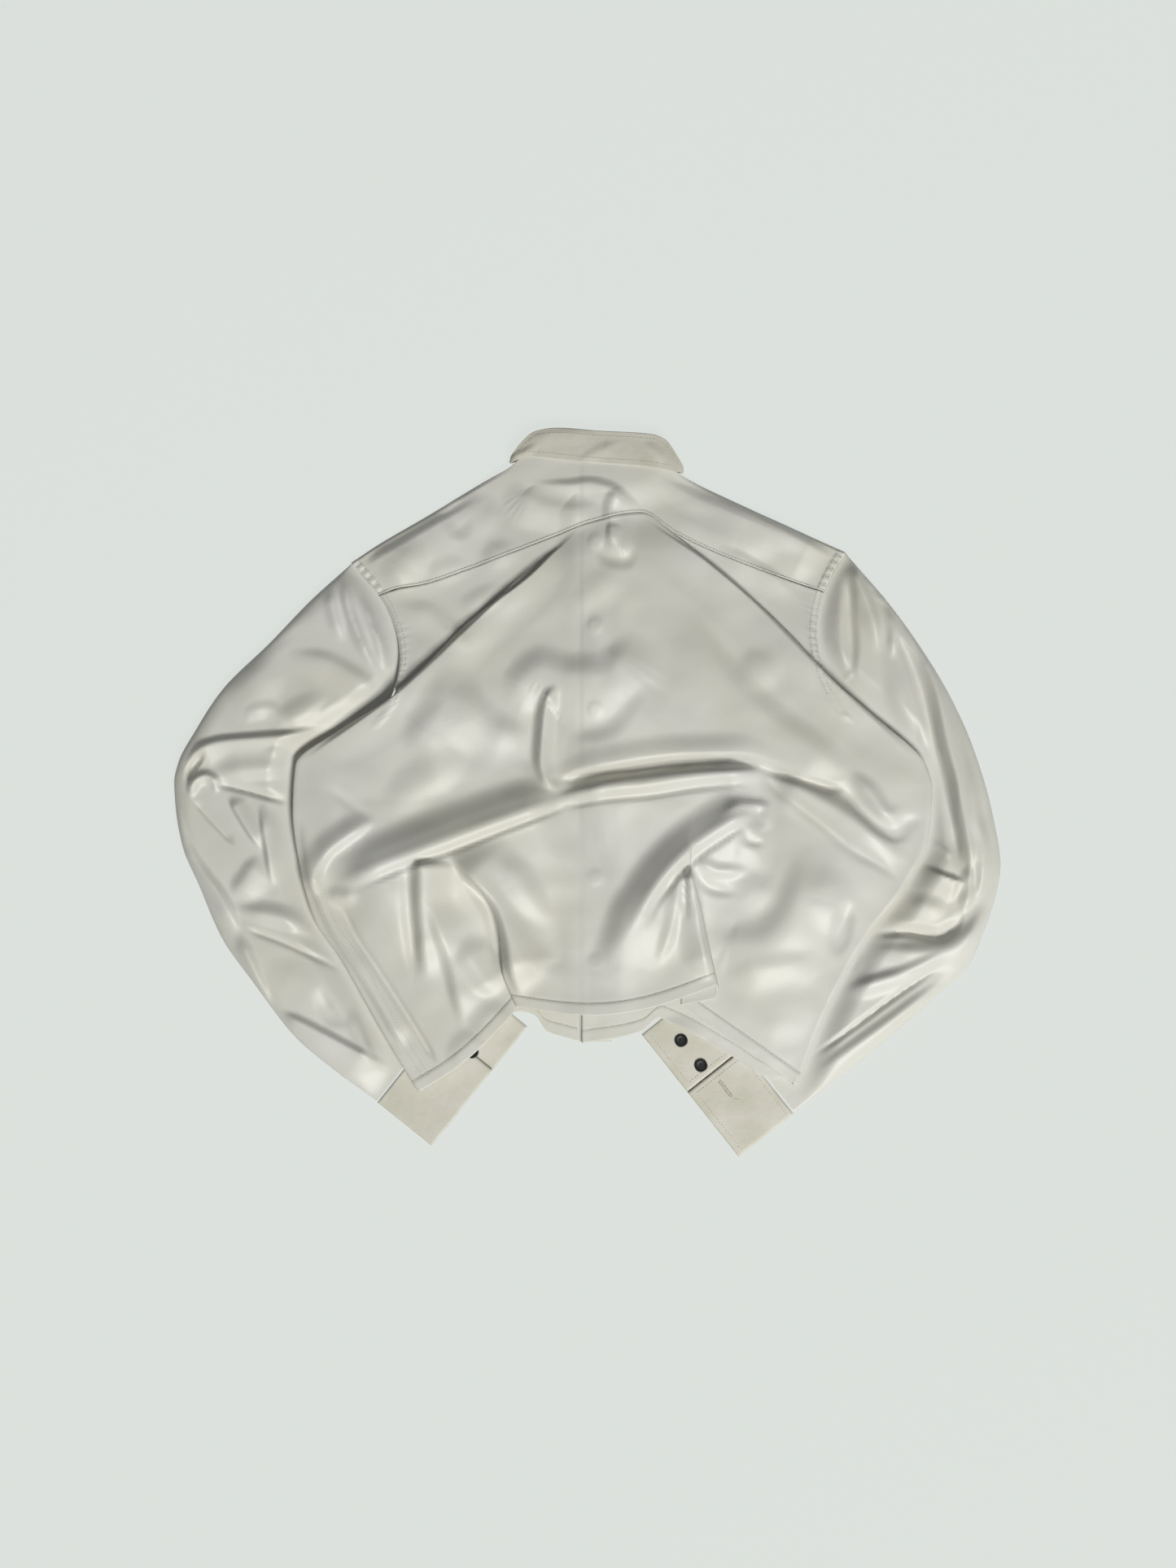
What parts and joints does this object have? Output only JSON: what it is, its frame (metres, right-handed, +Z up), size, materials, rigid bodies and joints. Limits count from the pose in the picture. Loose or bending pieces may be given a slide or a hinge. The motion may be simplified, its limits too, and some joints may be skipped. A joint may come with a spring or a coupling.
{
  "type": "satin button shirt laid face down",
  "caption": "Boxy long-sleeved satin button shirt laid face down and crumpled, with folded collar, open cuffs and black cuff buttons.",
  "frame": {"origin": "on the surface it lies on, under the middle of its width and length", "axes": "+Z up from the surface to the shirt's back, +Y toward the collar, +X toward the wearer's right sleeve"},
  "size_m": [0.761, 0.6704, 0.0305],
  "materials": {
    "satin": "ivory polyester satin with a soft sheen",
    "facing": "cream satin stiffened with interlining, flatter in sheen",
    "button": "black, lightly polished"
  },
  "bodies": {
    "root": {"back": "satin", "yoke": "satin", "front_left": "satin", "front_right": "satin", "placket": "satin", "collar_leaf": "facing", "collar_stand": "facing", "sleeve_left": "satin", "sleeve_right": "satin", "cuff_left": "facing", "cuff_right": "facing", "cuff_button_left_1": "button", "cuff_button_left_2": "button", "cuff_button_right_1": "button", "cuff_button_right_2": "button", "front_button_1": "button", "front_button_2": "button", "front_button_3": "button", "front_button_4": "button", "front_button_5": "button", "front_button_6": "button"}
  },
  "joints": []
}
